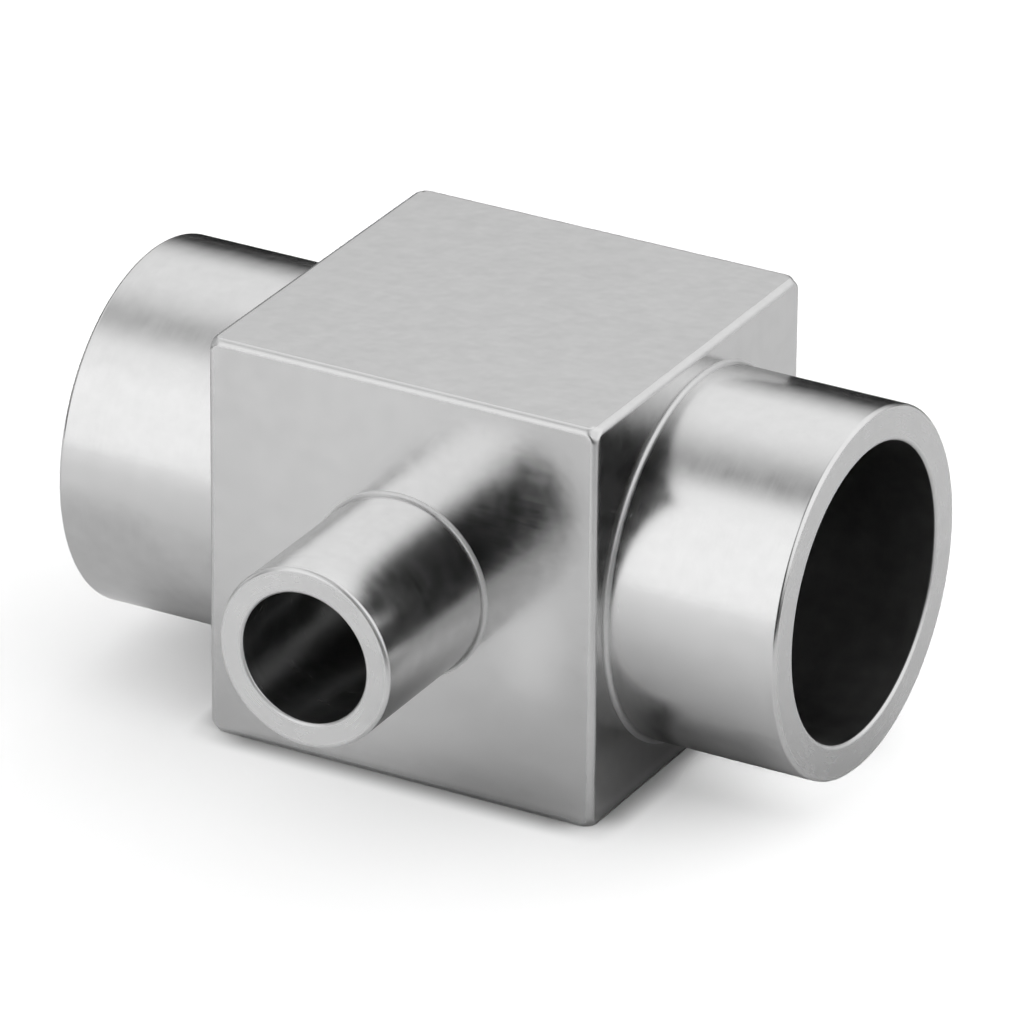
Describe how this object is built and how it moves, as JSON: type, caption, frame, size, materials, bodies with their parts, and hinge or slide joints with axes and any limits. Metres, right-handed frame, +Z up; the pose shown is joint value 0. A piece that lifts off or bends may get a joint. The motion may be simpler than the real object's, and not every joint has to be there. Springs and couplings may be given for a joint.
{
  "type": "reducing tube tee",
  "caption": "Butt-weld reducing tube tee: a square block with equal tube stubs in line and a smaller stub square to them, bored through.",
  "frame": {"origin": "where the axis of the run and the axis of the branch cross", "axes": "+X along the run, -Y along the branch towards its open end, +Z up from the face that it rests on"},
  "size_m": [0.027, 0.0204, 0.0144],
  "materials": {
    "steel": "fine machined stainless steel with a satin sheen"
  },
  "bodies": {
    "root": {"tee_body": "steel"}
  },
  "joints": []
}
